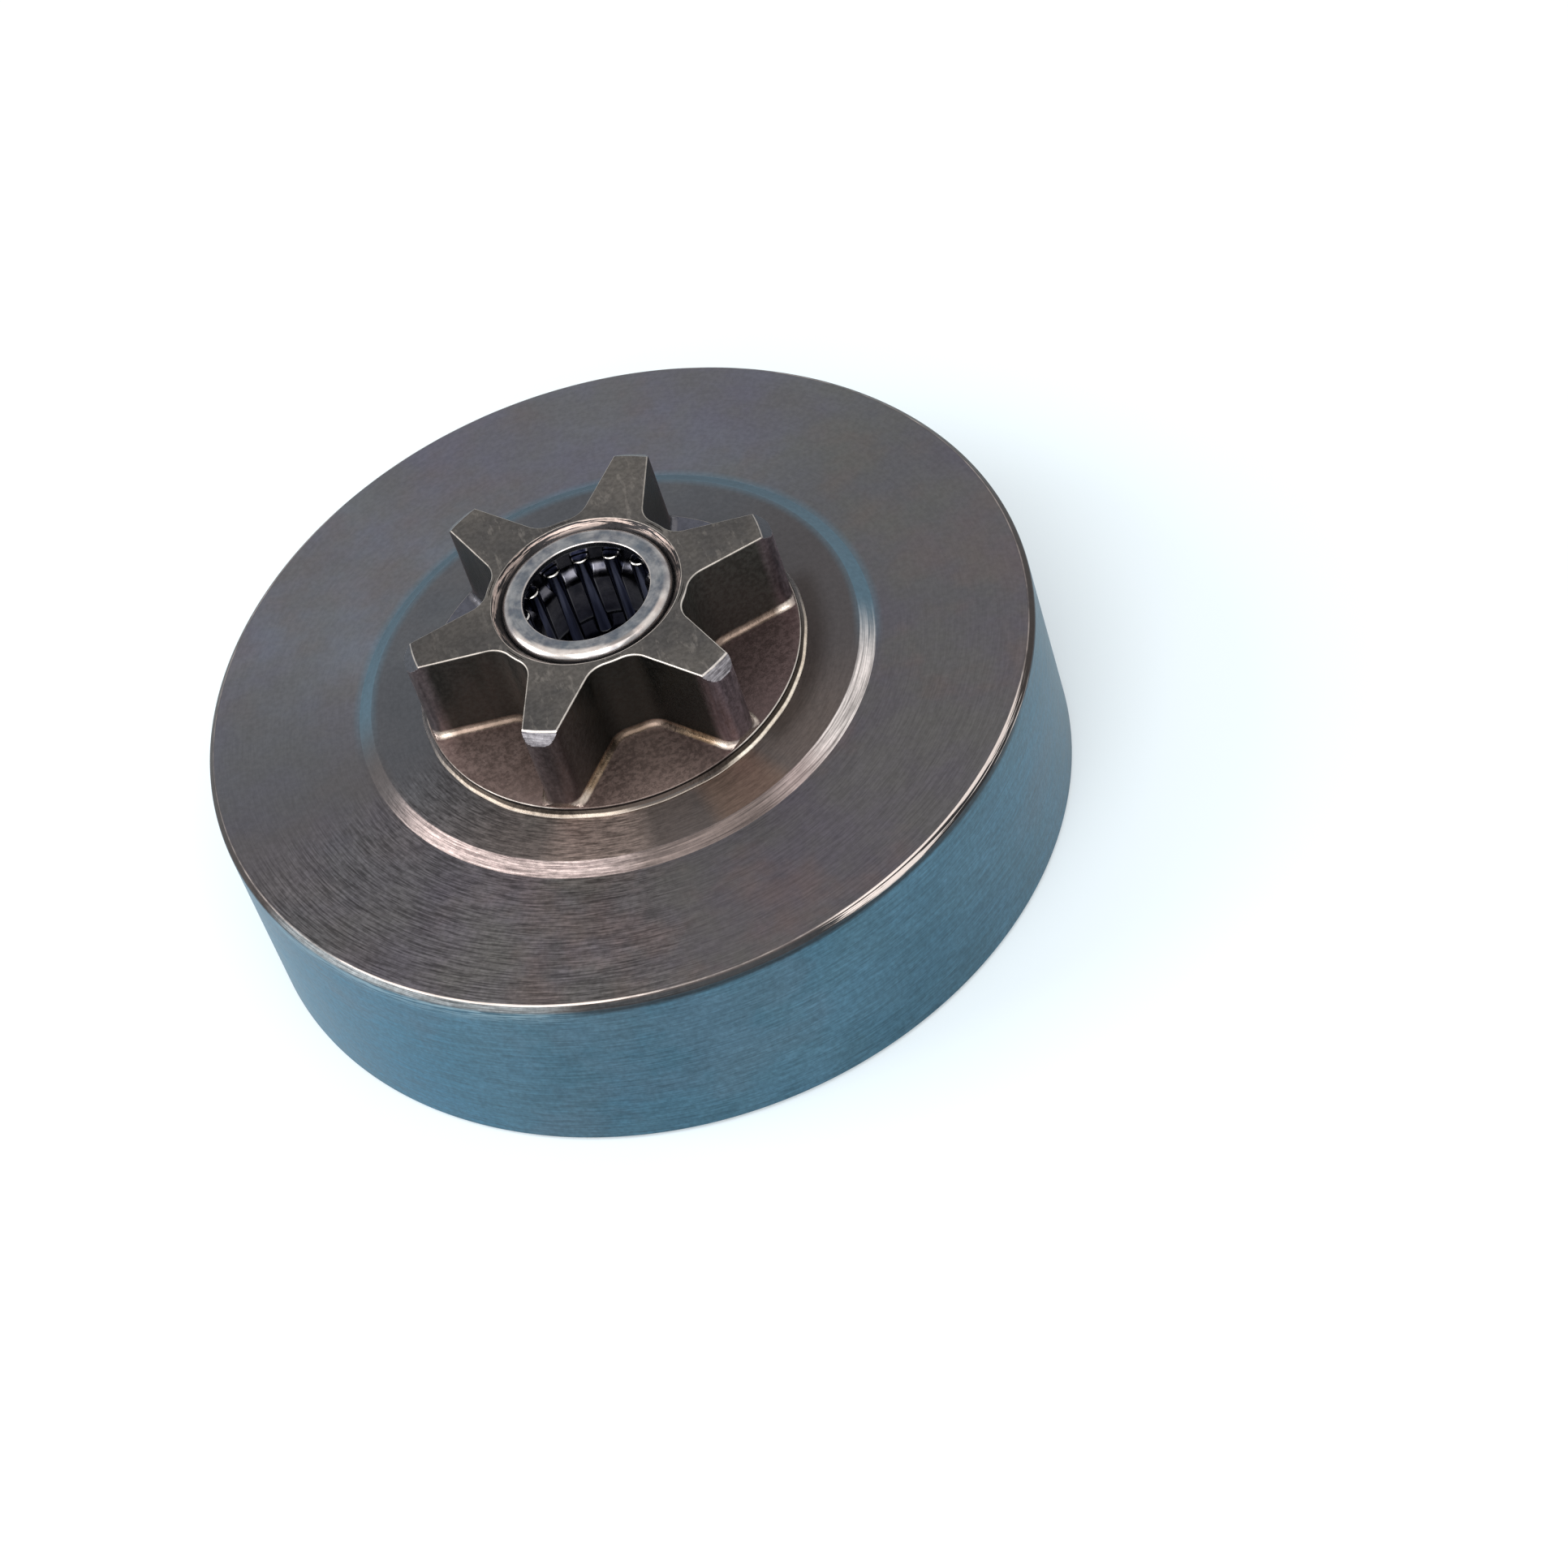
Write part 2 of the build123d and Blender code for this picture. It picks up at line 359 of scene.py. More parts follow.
def spur_sprocket(name, material):
    """The sprocket as one closed grid, its columns the tooth outline's points and its rows a section.

    A row on the turned parts is a circle of its own radius. A row on the teeth is the outline moved
    out by an offset along its normals. Above the foot round no point lies outside the bevel's cone,
    and on it none lies more than a hair outside the tip circle. The braze's bead wanders round the
    flange by a sum of sines of the azimuth.
    """
    outline, facing = tooth_outline()
    columns = len(outline)
    ray = unit(outline)
    azimuth = np.arctan2(ray[:, 1], ray[:, 0])
    bead = sum(size * np.sin(count * azimuth + shift) for size, count, shift in bead_waves)

    rows, tilts, names = [], [], []
    on_circles = (1.0, 0.0, 0.0, 1.0)
    arc_steps = (5, 9, 7, 5)
    arc_marks = ("wear", "foot", "wear", "wear")
    for corners, steps, arc_mark in zip(sprocket_sections(), arc_steps, arc_marks):
        point, normal, number, along = eased_chain([c[:3] for c in corners], False, steps)
        marks = run_marks([c[3] for c in corners], [c[4] for c in corners], number, along, False)
        marks[arc_mark] = marks.pop("wear")
        rows.append(point)
        tilts.append(normal)
        names.append(marks)

    # More rows up the tips, so that the bevel's edge is cut finely
    bevel_heights = np.linspace(rows[2][0, 1], sprocket_z - top_edge_ease, bevel_rows + 2)[1:-1]
    extra = np.stack([np.zeros(bevel_rows), bevel_heights], axis=-1)
    rows[2] = np.insert(rows[2], 1, extra, axis=0)
    tilts[2] = np.insert(tilts[2], 1, np.tile([1.0, 0.0], (bevel_rows, 1)), axis=0)
    for finish, values in names[2].items():
        names[2][finish] = np.insert(values, 1, np.full(bevel_rows, float(finish == "wall")))

    marks = {
        finish: np.concatenate([part.get(finish, np.zeros(len(r))) for part, r in zip(names, rows)])
        for finish in sorted({finish for part in names for finish in part})
    }
    share = np.repeat(on_circles, [len(r) for r in rows])[:, None, None]
    row, tilt = np.concatenate(rows), np.concatenate(tilts)
    across = (row[:, :1] + bead * marks["bead"][:, None])[..., None]
    flat = share * across * ray + (1 - share) * (outline + across * facing)
    out = share * ray + (1 - share) * facing
    height = np.repeat(row[:, 1:], columns, axis=1)

    radius = np.linalg.norm(flat, axis=-1)
    on_foot = height <= flange_z + tooth_foot_round
    support = row[:, :1] < -2 * top_edge_ease
    cone = tip_radius - tip_bevel_depth + (sprocket_z - height) * tip_bevel_depth / tip_bevel_height
    cone = np.where(support, cone - bevel_margin, cone)
    rim = tip_radius + rim_gap + rim_spread * row[:, :1] / tooth_foot_round
    limit = np.where(on_foot, rim, cone)
    limit = np.where(share[..., 0] > 0.5, np.inf, limit)
    cut = radius > limit
    flat = flat * np.where(cut, limit / radius, 1.0)[..., None]
    on_cone = cut & (height > sprocket_z - tip_bevel_height) & ~support

    # The flange's flat ends just outside the foot round, and at the tips just inside the eased edge
    edge = len(rows[0]) - 1
    reach = np.clip(radius[edge + 1] + 2 * rim_gap, flange_radius - flange_flat, tip_radius + flat_reach)
    flat[edge] = unit(flat[edge + 1]) * reach[:, None]

    slope = np.hypot(tip_bevel_depth, tip_bevel_height)
    spread = np.broadcast_to(ray, flat.shape)
    level = np.ones((*radius.shape, 1))
    upward = np.repeat(tilt[:, None, 1:], columns, axis=1)
    normals = np.concatenate([out * tilt[:, None, :1], upward], axis=-1)
    cone_normals = np.concatenate([spread * tip_bevel_height, level * tip_bevel_depth], axis=-1) / slope
    normals = np.where(on_cone[..., None], cone_normals, normals)
    rim_normals = np.concatenate([spread, 0 * level], axis=-1)
    normals = np.where((cut & on_foot)[..., None], rim_normals, normals)
    points = np.concatenate([flat, height[..., None]], axis=-1)
    marks = {finish: np.repeat(values[:, None], columns, axis=1) for finish, values in marks.items()}
    marks["bevel"] = on_cone.astype(float)
    faces = ring_faces(len(row), columns)
    return skin(name, points.reshape(-1, 3), normals.reshape(-1, 3), faces, marks, material)


def needle(name, low, high, material, columns=40):
    """A roller between two box corners: a straight side and eased ends, carried round its own axis."""
    middle = (low + high) / 2
    radius = (high[0] - low[0]) / 2
    outline, outward, _, along = eased_chain(
        [
            (0.0, low[2], 0.0),
            (radius, low[2], needle_end_ease),
            (radius, high[2], needle_end_ease),
            (0.0, high[2], 0.0),
        ],
        closed=False,
        steps=5,
    )
    angle = np.arange(columns) * 2 * np.pi / columns
    round_z = np.stack([np.cos(angle), np.sin(angle), np.zeros(columns)], axis=-1)
    up = np.array([0.0, 0.0, 1.0])
    side = outline[1:-1, None, :1] * round_z + outline[1:-1, None, 1:] * up
    side = side + np.array([middle[0], middle[1], 0.0])
    side_normals = outward[1:-1, None, :1] * round_z + outward[1:-1, None, 1:] * up
    ends = np.array([[middle[0], middle[1], low[2]], [middle[0], middle[1], high[2]]])
    points = np.concatenate([side.reshape(-1, 3), ends])
    normals = np.concatenate([side_normals.reshape(-1, 3), [[0, 0, -1], [0, 0, 1]]])
    rows = len(outline) - 2
    quads = ring_faces(rows, columns)[: (rows - 1) * columns]
    here = np.arange(columns)
    there = np.roll(here, -1)
    bottom = np.stack([there, here, np.full(columns, rows * columns)], axis=-1)
    last = (rows - 1) * columns
    top = np.stack([last + here, last + there, np.full(columns, rows * columns + 1)], axis=-1)
    wear = np.concatenate([np.repeat(np.sin(np.pi * along[1:-1]), columns), [0.0, 0.0]])
    mesh_faces = [*quads.tolist(), *bottom.tolist(), *top.tolist()]
    return skin(name, points, normals, np.array(mesh_faces, dtype=object), {"wear": wear}, material)


def cage_sleeve(name, middle_z, phase, needle_half_length, material):
    """Bent sheet sleeve with a window round each roller, as one closed skin.

    The sheet's middle line is a chain of straight runs and bends in radius and height, and its two
    sides lie half a sheet off along the normals. At radius r a window's edge is at the angle whose
    cosine is (r^2 + p^2 - q^2) / (2 r p), where a cylinder of radius q on the pitch radius p cuts it.
    Window cells are left out, and every rim between a kept cell and an empty one gets a wall.
    """
    line, normal, _, _ = eased_chain(
        [
            (cage_high_radius, -cage_half_length, 0.0),
            (cage_high_radius, -cage_slope_end, cage_bend),
            (cage_low_radius, -cage_dip_half, cage_bend),
            (cage_low_radius, cage_dip_half, cage_bend),
            (cage_high_radius, cage_slope_end, cage_bend),
            (cage_high_radius, cage_half_length, 0.0),
        ],
        closed=False,
    )
    end = needle_half_length + pocket_end_clearance
    window_rows = np.array([[cage_high_radius, -end], [cage_high_radius, end]])
    line = np.insert(line, [1, len(line) - 1], window_rows, axis=0)
    normal = np.insert(normal, [1, len(normal) - 1], [[1.0, 0.0], [1.0, 0.0]], axis=0)
    sides = np.stack([line + normal * cage_sheet / 2, line - normal * cage_sheet / 2])

    across, pitch = window_columns, 2 * np.pi / needle_count
    radius, height = sides[..., 0], sides[..., 1]
    cosine = (radius**2 + needle_pitch_radius**2 - pocket_radius**2) / (2 * radius * needle_pitch_radius)
    half = np.arccos(cosine)[..., None, None]
    share = np.arange(across) / across
    window = half * (2 * share - 1)
    bar = half + (pitch - 2 * half) * share
    turn = phase + pitch * np.arange(needle_count)[:, None]
    angle = (np.concatenate([window, bar], axis=-1) + turn).reshape(2, len(line), -1)
    columns = angle.shape[-1]
    points = np.stack(
        [
            radius[..., None] * np.cos(angle),
            radius[..., None] * np.sin(angle),
            np.repeat(height[..., None] + middle_z, columns, axis=-1),
        ],
        axis=-1,
    )

    rows = len(line)
    outer = np.arange(rows * columns).reshape(rows, columns)
    inner = outer + rows * columns
    in_window = np.arange(columns) % (2 * across) < across
    between = (np.arange(rows - 1) >= 1) & (np.arange(rows - 1) < rows - 2)
    kept = ~(between[:, None] & in_window)
    following = (np.arange(columns) + 1) % columns

    def strip(grid, i, j):
        k = following[j]
        return np.stack([grid[i, j], grid[i, k], grid[i + 1, k], grid[i + 1, j]], -1)

    i, j = np.nonzero(kept)
    faces = [strip(outer, i, j), strip(inner, i, j)[:, ::-1]]
    before = np.roll(kept, 1, axis=1)
    i, j = np.nonzero(before & ~kept)
    faces.append(np.stack([outer[i, j], inner[i, j], inner[i + 1, j], outer[i + 1, j]], -1))
    i, j = np.nonzero(kept & ~before)
    faces.append(np.stack([outer[i, j], outer[i + 1, j], inner[i + 1, j], inner[i, j]], -1))
    empty = np.zeros((1, columns), bool)
    under, over = np.concatenate([empty, kept]), np.concatenate([kept, empty])
    i, j = np.nonzero(under & ~over)
    k = following[j]
    faces.append(np.stack([outer[i, j], outer[i, k], inner[i, k], inner[i, j]], -1))
    i, j = np.nonzero(over & ~under)
    k = following[j]
    faces.append(np.stack([outer[i, j], inner[i, j], inner[i, k], outer[i, k]], -1))
    used, faces = np.unique(np.concatenate(faces), return_inverse=True)
    column = np.arange(columns) % (2 * across)
    rim = np.where(column == 0, 1.0, np.where(column == across, second_rim_wear_and_highlight, 0.0))
    marks = {"rim": np.tile(rim, 2 * rows)[used]}
    return skin(name, points.reshape(-1, 3)[used], None, faces.reshape(-1, 4), marks, material)


# Shader trees

FLOAT = "NodeSocketFloat"
VECTOR = "NodeSocketVector"

# Where noise starts and is full, which stretches it to full contrast
noise_spread = (0.3, 0.7)


class Tree:
    """Adds nodes to one shader tree. A socket takes a number, a colour or another node's socket."""

    def __init__(self, tree):
        self.tree = tree

    def feed(self, socket, value):
        if isinstance(value, bpy.types.NodeSocket):
            self.tree.links.new(value, socket)
        else:
            socket.default_value = value

    def feed_named(self, sockets, **values):
        """Feeds sockets by their names, given in lower case with underscores."""
        for key, value in values.items():
            self.feed(sockets[key.replace("_", " ").title().replace("Ior", "IOR")], value)

    def node(self, kind, inputs=None, **settings):
        made = self.tree.nodes.new(kind)
        for key, value in settings.items():
            setattr(made, key, value)
        for key, value in (inputs or {}).items():
            self.feed(made.inputs[key], value)
        return made

    def group(self, tree, **inputs):
        made = self.node("ShaderNodeGroup", node_tree=tree)
        self.feed_named(made.inputs, **inputs)
        return made.outputs[0]

    def math(self, operation, *values):
        return self.node("ShaderNodeMath", dict(enumerate(values)), operation=operation).outputs[0]

    def times(self, value, *others):
        for other in others:
            value = self.math("MULTIPLY", value, other)
        return value

    def most(self, value, *others):
        for other in others:
            value = self.math("MAXIMUM", value, other)
        return value

    def plus(self, first, second):
        return self.math("ADD", first, second)

    def minus(self, first, second):
        return self.math("SUBTRACT", first, second)

    def apart(self, first, second):
        return self.math("ABSOLUTE", self.minus(first, second))

    def vector(self, operation, *values):
        return self.node("ShaderNodeVectorMath", dict(enumerate(values)), operation=operation).outputs

    def mix(self, factor, first, second, blend_type="MIX"):
        inputs = {0: factor, 6: first, 7: second}
        made = self.node("ShaderNodeMix", inputs, data_type="RGBA", blend_type=blend_type)
        return made.outputs[2]

    def ramp(self, value, low, high, start=0.0, end=1.0):
        inputs = {"Value": value, "From Min": low, "From Max": high, "To Min": start, "To Max": end}
        made = self.node("ShaderNodeMapRange", inputs, interpolation_type="SMOOTHSTEP")
        return made.outputs[0]

    def mark(self, name):
        made = self.node("ShaderNodeAttribute", attribute_name=name)
        return made.outputs["Fac"]

    def seen(self):
        """1 for what the camera sees, straight, mirrored or through glass, and 0 for other light."""
        path = self.node("ShaderNodeLightPath").outputs
        return self.most(path["Is Camera Ray"], path["Is Glossy Ray"], path["Is Transmission Ray"])


def new_group(name, inputs, output):
    """A node group with named inputs (name to socket type) and one float output, ready for its nodes."""
    group = bpy.data.node_groups.new(name, "ShaderNodeTree")
    for socket, kind in inputs.items():
        group.interface.new_socket(name=socket, in_out="INPUT", socket_type=kind)
    group.interface.new_socket(name=output, in_out="OUTPUT", socket_type=FLOAT)
    tree = Tree(group)
    given = tree.node("NodeGroupInput").outputs
    result = tree.node("NodeGroupOutput").inputs[0]
    return group, tree, given, result


def make_turned_lines():
    """Lathe lines: noise that changes fast across the surface and slowly round the axis.

    Across is r + k z, with the rise k of the sign that makes it change down the slope in hand.
    """
    sockets = {"Vector": VECTOR, "Rise": FLOAT, "Pitch": FLOAT, "Run": FLOAT}
    group, tree, given, result = new_group("turned_lines", sockets, "Lines")
    above_zero = 1e-9
    x, y, z = tree.node("ShaderNodeSeparateXYZ", {0: given["Vector"]}).outputs
    squares = tree.plus(tree.times(x, x), tree.times(y, y))
    radius = tree.math("SQRT", tree.plus(squares, above_zero))
    level = tree.times(z, given["Rise"])
    across = tree.math("DIVIDE", tree.plus(radius, level), given["Pitch"])
    cos = tree.times(tree.math("DIVIDE", x, radius), given["Run"])
    sin = tree.times(tree.math("DIVIDE", y, radius), given["Run"])
    spot = tree.node("ShaderNodeCombineXYZ", {0: across, 1: cos, 2: sin}).outputs[0]
    inputs = {"Vector": spot, "Scale": 1.0, "Detail": 3.0, "Roughness": 0.6}
    noise = tree.node("ShaderNodeTexNoise", inputs).outputs[0]
    tree.feed(result, tree.ramp(noise, *noise_spread))
    return group


def sized_noise(tree, given, detail, roughness):
    """Noise at a group's vector, of the size that the group is given."""
    scale = tree.math("DIVIDE", 1.0, given["Size"])
    inputs = {"Vector": given["Vector"], "Scale": scale, "Detail": detail, "Roughness": roughness}
    return tree.node("ShaderNodeTexNoise", inputs).outputs[0]


def make_mottle():
    """Soft patches of tint: three-dimensional noise of the given size, stretched to full contrast."""
    group, tree, given, result = new_group("mottle", {"Vector": VECTOR, "Size": FLOAT}, "Patch")
    tree.feed(result, tree.ramp(sized_noise(tree, given, 4.0, 0.6), *noise_spread))
    return group


def make_worn_edge():
    """Bare metal on an edge: the edge's mask eaten away by noise of the given size."""
    sockets = {"Edge": FLOAT, "Vector": VECTOR, "Size": FLOAT, "Ragged": FLOAT}
    group, tree, given, result = new_group("worn_edge", sockets, "Wear")
    noise = sized_noise(tree, given, 3.0, 0.65)
    eaten = tree.times(tree.minus(noise, 0.5), given["Ragged"])
    left = tree.plus(given["Edge"], tree.times(eaten, given["Edge"]))
    tree.feed(result, tree.ramp(left, 0.25, 0.8))
    return group


def make_stretch():
    """A stretch of a turned part: 1 where the way out from the axis is near a direction, 0 far from it.

    Near is told by the cosine of the angle between the two.
    """
    sockets = {"Vector": VECTOR, "Direction": VECTOR, "Wide": FLOAT, "Narrow": FLOAT}
    group, tree, given, result = new_group("stretch", sockets, "Stretch")
    flat = tree.vector("MULTIPLY", given["Vector"], (1.0, 1.0, 0.0))[0]
    way = tree.vector("NORMALIZE", flat)[0]
    near = tree.vector("DOT_PRODUCT", way, given["Direction"])["Value"]
    tree.feed(result, tree.ramp(near, given["Wide"], given["Narrow"]))
    return group


turned_lines = make_turned_lines()
mottle = make_mottle()
worn_edge = make_worn_edge()
stretch = make_stretch()


class Finish(Tree):
    """A new material's tree, with its Principled shader and the place on the piece in object coordinates.

    Sizes, pitches, radii and heights are in millimetres, and azimuths in degrees.
    """

    def __init__(self, name):
        self.material = bpy.data.materials.new(name)
        self.material.use_nodes = True
        super().__init__(self.material.node_tree)
        self.shader = self.tree.nodes["Principled BSDF"]
        self.place = self.node("ShaderNodeTexCoord").outputs["Object"]

    def connect(self, **sockets):
        """Links or sets the shader's sockets and gives the finished material."""
        self.feed_named(self.shader.inputs, **sockets)
        return self.material

    def radius(self):
        """The distance from the axis."""
        flat = self.vector("MULTIPLY", self.place, (1.0, 1.0, 0.0))[0]
        return self.times(self.vector("LENGTH", flat)["Value"], 1 / MM)

    def height(self):
        """The height above the rim."""
        return self.times(self.node("ShaderNodeSeparateXYZ", {0: self.place}).outputs[2], 1 / MM)

    def lathe(self, rise, pitch, run):
        """Lathe lines, which break off more often round the axis the larger run is."""
        return self.group(turned_lines, vector=self.place, rise=rise, pitch=pitch * MM, run=run)

    def patches(self, size, place=None):
        """Soft patches, at the place on the piece or at another vector."""
        place = self.place if place is None else place
        return self.group(mottle, vector=place, size=size * MM)

    def drawn_out(self, scale, turn=0.0):
        """The place with its axes scaled and then turned about Z, for patches that are longer one way."""
        inputs = {"Vector": self.place, "Rotation": (0.0, 0.0, turn), "Scale": scale}
        return self.node("ShaderNodeMapping", inputs).outputs[0]

    def bare(self, edge, size):
        """Bare metal on an edge, broken up by noise of a size."""
        return self.group(worn_edge, edge=edge, vector=self.place, size=size * MM, ragged=1.3)

    def toward(self, azimuth, wide, narrow):
        """The stretch of a part round an azimuth, fading between two half widths."""
        azimuth, wide, narrow = np.radians([azimuth, wide, narrow]).tolist()
        direction = (np.cos(azimuth), np.sin(azimuth), 0.0)
        inputs = {"direction": direction, "wide": np.cos(wide), "narrow": np.cos(narrow)}
        return self.group(stretch, vector=self.place, **inputs)

    def shades(self, mask, first, second):
        """From one screen colour to another by a mask."""
        return self.mix(mask, screen(*first), screen(*second))

    def layers(self, colour, *layers):
        """A colour with others laid over it. A layer is a mask, a colour and, unless it is 1, a share."""
        for mask, over, *share in layers:
            over = screen(*over) if isinstance(over, tuple) else over
            colour = self.mix(self.times(mask, *share), colour, over)
        return colour

    def toned(self, colour, tone):
        """A colour multiplied by a brightness."""
        grey = self.node("ShaderNodeCombineXYZ", {0: tone, 1: tone, 2: tone}).outputs[0]
        return self.mix(1.0, colour, grey, "MULTIPLY")

    def swing(self, value, depth):
        """A brightness that swings about 1 as a value swings about a half."""
        return self.plus(1.0, self.times(self.minus(value, 0.5), depth))

    def bump(self, strength, depth, relief):
        """The normal over a relief of a depth."""
        inputs = {"Strength": strength, "Distance": depth * MM, "Height": relief}
        return self.node("ShaderNodeBump", inputs).outputs[0]


def drum_finish():
    """Turned steel: brown-grey face, blue-green wall as a painted reflection, a bevel with a pale painted
    highlight in front and a blue-grey painted reflection behind, and bare edges with painted highlights
    in places.
    """
    tree = Finish("drum_steel")
    rust_shift = (0.31, 0.17, 0.05)
    lines = tree.lathe(-1.0, 0.14, 11.0)
    fine = tree.lathe(-1.0, 0.1, 20.0)
    brushed = tree.lathe(-1.0, 0.2, 3.5)
    patch = tree.patches(19.0)
    cloud = tree.patches(7.0)
    rust = tree.patches(12.0, tree.vector("ADD", tree.place, rust_shift)[0])
    speck = tree.patches(0.4)
    height = tree.height()
    radius = tree.radius()
    on_wall = tree.mark("wall")
    on_chamfer = tree.mark("chamfer")
    on_friction = tree.mark("friction")
    on_inside = tree.mark("inside")
    wear = tree.mark("wear")
    front = tree.toward(262, 115, 30)
    lit = tree.toward(272, 82, 58)
    ridged = tree.times(tree.toward(229, 47, 20), tree.minus(1.0, on_wall))
    scuffed = tree.toward(224, 27, 18)
    # Stretches of edge with bare metal and a painted highlight
    wear_highlight_left = tree.toward(237, 31, 12)
    wear_highlight_right = tree.toward(308, 31, 12)

    # Face and pad. Their tints by azimuth are painted light: bluer to the back and browner to the front
    # as painted reflection, darker to the right and to the left as painted shade, and two painted sheens
    # on the pad in front
    clean = tree.times(tree.toward(196, 52, 20), 0.75)
    rusty = tree.times(tree.ramp(rust, 0.4, 1.0), tree.ramp(front, 0.0, 1.0, 0.25, 0.5))
    face = tree.layers(
        tree.shades(front, (102, 107, 117), (90, 86, 86)),
        (tree.toward(345, 85, 35), (80, 78, 80), 0.75),
        (patch, (87, 82, 95), 0.6),
        (cloud, (92, 92, 84), 0.45),
        (tree.toward(192, 44, 6), (72, 71, 75), 0.5),
        (tree.times(rusty, tree.minus(1.0, clean)), (102, 87, 83)),
    )
    # Painted shadow that the flange casts on the pad toward the right
    flange_shadow = tree.times(tree.ramp(radius, *pad_flange_shadow), tree.toward(336, 36, 26))
    pad = tree.layers(
        tree.shades(tree.toward(295, 115, 45), (76, 78, 82), (97, 88, 84)),
        (cloud, face, 0.4),
        (tree.toward(0, 42, 12), (72, 70, 72), 0.8),
        (tree.toward(251, 15, 6), (138, 123, 116)),
        (tree.toward(289, 12, 5), (116, 98, 88)),
        (flange_shadow, (44, 35, 30), 0.55),
    )

    # Wall and edge. The wall's blue-green is a painted reflection of blue surroundings, stronger on the
    # left; the chamfer is pale grey where scuffed
    wall = tree.layers(
        tree.shades(patch, (63, 96, 113), (77, 109, 126)),
        (cloud, (70, 98, 108), 0.35),
        (tree.toward(208, 30, 10), (58, 108, 132), 0.6),
        (tree.ramp(rust, 0.6, 1.0), (90, 102, 114), 0.25),
    )
    chamfer = tree.shades(scuffed, (60, 54, 52), (112, 116, 118))
    # Painted shade: a dark band along the top of the wall and the chamfer below the front-right edge
    under = tree.times(tree.ramp(height, *shade_under_edge), tree.ramp(height, *shade_at_edge))
    under = tree.times(under, tree.most(on_wall, on_chamfer), tree.toward(287, 42, 33))

    # Bevel round the pad, in painted light: a pale painted highlight toward the front, a painted shadow
    # of the front tooth across it, a brighter painted highlight to the right, and a blue-grey painted
    # reflection at the back that spreads past its edges
    shadowed = tree.shades(brushed, (64, 57, 55), (104, 93, 89))
    far_highlight = tree.shades(brushed, (132, 126, 124), (240, 231, 227))
    bright = tree.layers(
        tree.shades(brushed, (112, 99, 97), (172, 157, 153)),
        (tree.toward(275, 24, 11), shadowed),
        (tree.toward(335, 36, 14), far_highlight),
    )
    dull = tree.shades(tree.toward(200, 36, 14), (84, 108, 122), (80, 76, 76))
    off_ring = tree.apart(radius, pad_ring_radius)
    reflection_halo = tree.times(tree.ramp(off_ring, *pad_ring_reflection_fade), tree.ramp(lit, 1.0, 0.0, 0.0, 0.5))

    colour = tree.layers(
        face,
        (tree.mark("pad"), pad),
        (reflection_halo, dull),
        (on_wall, wall),
        (tree.mark("bevel"), tree.mix(lit, dull, bright)),
        (on_chamfer, chamfer),
        (tree.mark("rim"), (128, 134, 138)),
        (under, (38, 40, 42), 0.85),
        (on_inside, tree.shades(cloud, (101, 101, 104), (110, 106, 104))),
        (on_friction, tree.shades(patch, (168, 166, 166), (142, 138, 140))),
    )

    # Lathe lines and grit
    streak = tree.plus(tree.times(lines, 0.75), tree.times(fine, 0.25))
    depth = tree.most(
        tree.ramp(ridged, 0.0, 1.0, 0.14, 1.4),
        tree.times(on_wall, 0.7),
        tree.times(front, 0.45),
        tree.times(on_friction, 0.9),
        tree.times(on_inside, 0.6),
    )
    coarse = tree.most(tree.ramp(ridged, 0.0, 1.0, 0.15, 0.34), tree.times(on_wall, 0.28))
    shade = tree.swing(streak, tree.times(depth, 0.85))
    colour = tree.toned(colour, tree.times(shade, tree.swing(speck, coarse)))

    # Edges bare from wear, with painted highlights on two stretches, front-left and front-right
    streaked = tree.times(on_chamfer, tree.ramp(brushed, 0.45, 0.95))
    wear_and_highlight = tree.most(
        tree.times(wear, wear_highlight_left),
        tree.times(tree.most(wear, streaked), wear_highlight_right),
        tree.times(wear, 0.42),
    )
    polish_and_highlight = tree.shades(wear_highlight_right, (222, 208, 200), (230, 217, 210))
    scuff = tree.times(tree.ramp(height, *wall_scuff), on_wall, scuffed, tree.ramp(streak, 0.3, 0.7))
    colour = tree.layers(
        colour,
        (tree.bare(wear_and_highlight, 3.0), polish_and_highlight, 0.9),
        (scuff, (146, 166, 174), 0.7),
    )

    rough = tree.minus(tree.ramp(streak, 0.0, 1.0, 0.38, 0.48), tree.times(on_friction, 0.12))
    normal = tree.bump(0.3, 0.02, tree.times(streak, depth))
    return tree.connect(base_color=colour, roughness=rough, metallic=0.9, normal=normal)


